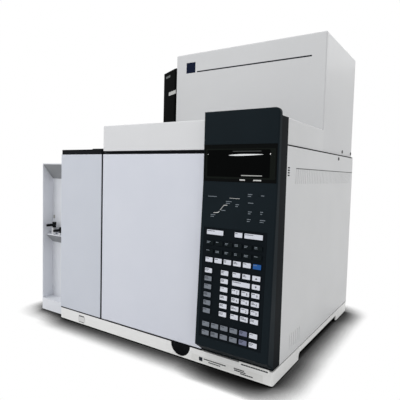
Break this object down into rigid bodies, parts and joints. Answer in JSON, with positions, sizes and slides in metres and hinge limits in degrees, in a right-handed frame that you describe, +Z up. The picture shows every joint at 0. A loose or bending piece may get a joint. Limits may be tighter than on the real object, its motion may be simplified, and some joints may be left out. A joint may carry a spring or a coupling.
{
  "type": "gas chromatograph",
  "caption": "Bench gas chromatograph with front oven door, control panel, auxiliary valve oven, sampler tower and side valve box.",
  "frame": {"origin": "on the bench, under the middle of the whole instrument", "axes": "+Z up, +Y from the door towards the rear panel, +X to the right seen from the front"},
  "size_m": [0.6812, 0.5608, 0.697],
  "materials": {
    "cool_white": "fine satin paint, cool white",
    "warm_white": "fine satin paint, neutral white",
    "base_grey": "satin paint, light grey",
    "carrier_grey": "satin paint, light grey",
    "black_trim": "matt, near black",
    "panel_black": "matt, blue-black",
    "display_glass": "glossy dark window, opaque",
    "keypad_rubber": "matt rubber keypad, keys light grey",
    "key_white": "matt, light",
    "key_blue": "matt, blue",
    "foot_rubber": "matt rubber",
    "seal_grey": "braided seal, grey",
    "zinc_sheet": "zinc-plated sheet",
    "steel": "stainless, lightly brushed",
    "insulation": "ceramic fibre board, fibrous",
    "heater_wire": "oxidised heater tube",
    "motor_black": "matt black",
    "column_amber": "polyimide-coated windings, amber",
    "board_green": "solder mask, green",
    "button_grey": "matt grey",
    "aluminium_block": "machined aluminium",
    "brass_fitting": "turned brass",
    "handle_black": "matt black",
    "turret_white": "matt white"
  },
  "bodies": {
    "cabinet": {"base_frame": "base_grey", "rubber_feet": "foot_rubber", "bay_dividers": "zinc_sheet", "left_side_panel": "warm_white", "right_side_panel": "warm_white", "rear_panel": "warm_white", "left_front_panel": "cool_white", "left_bay_cap": "black_trim", "top_deck": "black_trim", "electronics_cover": "warm_white", "cover_hinge_rod": "steel", "oven_insulation": "insulation", "oven_liner": "steel", "oven_heater": "heater_wire", "fan_shroud": "steel", "fan_motor": "motor_black", "capillary_column": "column_amber", "column_hanger": "steel", "hinge_pins": "steel", "exhaust_duct": "zinc_sheet", "panel_housing": "panel_black", "panel_bezel": "panel_black", "display_unit": "display_glass", "keypad_mat": "keypad_rubber", "main_board": "board_green", "power_transformer": "motor_black", "cooling_fan_frame": "motor_black", "power_inlet": "black_trim", "pneumatics_module": "aluminium_block", "gas_fittings": "brass_fitting", "injection_inlets": "steel", "detectors": "aluminium_block", "valve_oven_cover": "warm_white", "valve_oven_box": "insulation", "sample_valve": "steel", "cover_screws": "steel", "side_carrier": "carrier_grey", "shutoff_valves": "handle_black", "tower_housing": "panel_black"},
    "inlet_cover": {"inlet_cover": "warm_white"},
    "oven_fan": {"oven_fan": "steel"},
    "oven_door": {"oven_door": "cool_white", "door_liner": "steel", "door_seal": "seal_grey"},
    "door_latch": {"door_latch": "black_trim"},
    "vent_flap": {"vent_flap": "steel"},
    "key_prepare": {"key_prepare": "key_white"},
    "key_stop": {"key_stop": "key_white"},
    "key_start": {"key_start": "key_white"},
    "key_enter": {"key_enter": "key_white"},
    "key_up": {"key_up": "key_white"},
    "key_down": {"key_down": "key_white"},
    "key_shift": {"key_shift": "key_blue"},
    "cooling_fan_rotor": {"cooling_fan_rotor": "motor_black"},
    "power_button": {"power_button": "button_grey"},
    "valve_handle_tall": {"valve_handle_tall": "handle_black"},
    "valve_handle_short": {"valve_handle_short": "handle_black"},
    "tower_door": {"tower_door": "panel_black"},
    "vial_turret": {"vial_turret": "turret_white"},
    "syringe_carriage": {"syringe_carriage": "handle_black"}
  },
  "joints": [
    {"name": "oven_door_hinge", "type": "hinge", "parent": "cabinet", "child": "oven_door", "pos_m": [-0.086, -0.248, 0.2], "axis": [0, 0, -1], "range_deg": [0, 100]},
    {"name": "door_latch_press", "type": "slide", "parent": "cabinet", "child": "door_latch", "axis": [0, 1, 0], "range_m": [0, 0.003], "stiffness_N_per_m": 600, "springref_m": -0.002},
    {"name": "inlet_cover_hinge", "type": "hinge", "parent": "cabinet", "child": "inlet_cover", "pos_m": [0.048, -0.019, 0.47], "axis": [-1, 0, 0], "range_deg": [0, 80]},
    {"name": "oven_fan_spin", "type": "hinge", "parent": "cabinet", "child": "oven_fan", "pos_m": [0.0474, -0.015, 0.2105], "axis": [0, 1, 0], "continuous": true},
    {"name": "vent_flap_hinge", "type": "hinge", "parent": "cabinet", "child": "vent_flap", "pos_m": [0.0474, 0.225, 0.3385], "axis": [1, 0, 0], "range_deg": [0, 70]},
    {"name": "key_prepare_press", "type": "slide", "parent": "cabinet", "child": "key_prepare", "axis": [0, 0.9989, -0.047], "range_m": [0, 0.001], "stiffness_N_per_m": 300, "springref_m": -0.001},
    {"name": "key_stop_press", "type": "slide", "parent": "cabinet", "child": "key_stop", "axis": [0, 0.9989, -0.047], "range_m": [0, 0.001], "stiffness_N_per_m": 300, "springref_m": -0.001},
    {"name": "key_start_press", "type": "slide", "parent": "cabinet", "child": "key_start", "axis": [0, 0.9989, -0.047], "range_m": [0, 0.001], "stiffness_N_per_m": 300, "springref_m": -0.001},
    {"name": "key_enter_press", "type": "slide", "parent": "cabinet", "child": "key_enter", "axis": [0, 0.9989, -0.047], "range_m": [0, 0.001], "stiffness_N_per_m": 300, "springref_m": -0.001},
    {"name": "key_up_press", "type": "slide", "parent": "cabinet", "child": "key_up", "axis": [0, 0.9989, -0.047], "range_m": [0, 0.001], "stiffness_N_per_m": 300, "springref_m": -0.001},
    {"name": "key_down_press", "type": "slide", "parent": "cabinet", "child": "key_down", "axis": [0, 0.9989, -0.047], "range_m": [0, 0.001], "stiffness_N_per_m": 300, "springref_m": -0.001},
    {"name": "key_shift_press", "type": "slide", "parent": "cabinet", "child": "key_shift", "axis": [0, 0.9989, -0.047], "range_m": [0, 0.001], "stiffness_N_per_m": 300, "springref_m": -0.001},
    {"name": "cooling_fan_spin", "type": "hinge", "parent": "cabinet", "child": "cooling_fan_rotor", "pos_m": [0.265, 0.24, 0.33], "axis": [0, 1, 0], "continuous": true},
    {"name": "power_button_press", "type": "slide", "parent": "cabinet", "child": "power_button", "axis": [0, 1, 0], "range_m": [0, 0.002], "stiffness_N_per_m": 400, "springref_m": -0.001},
    {"name": "valve_handle_tall_turn", "type": "hinge", "parent": "cabinet", "child": "valve_handle_tall", "pos_m": [-0.316, -0.2178, 0.226], "axis": [0, 0, 1], "range_deg": [0, 90]},
    {"name": "valve_handle_short_turn", "type": "hinge", "parent": "cabinet", "child": "valve_handle_short", "pos_m": [-0.288, -0.2178, 0.214], "axis": [0, 0, 1], "range_deg": [0, 90]},
    {"name": "tower_door_hinge", "type": "hinge", "parent": "cabinet", "child": "tower_door", "pos_m": [-0.2365, 0.146, 0.56], "axis": [0, 0, -1], "range_deg": [0, 100]},
    {"name": "vial_turret_turn", "type": "hinge", "parent": "cabinet", "child": "vial_turret", "pos_m": [-0.157, 0.185, 0.45], "axis": [0, 0, 1], "continuous": true},
    {"name": "syringe_carriage_slide", "type": "slide", "parent": "cabinet", "child": "syringe_carriage", "axis": [0, 0, 1], "range_m": [-0.0125, 0.06]}
  ]
}
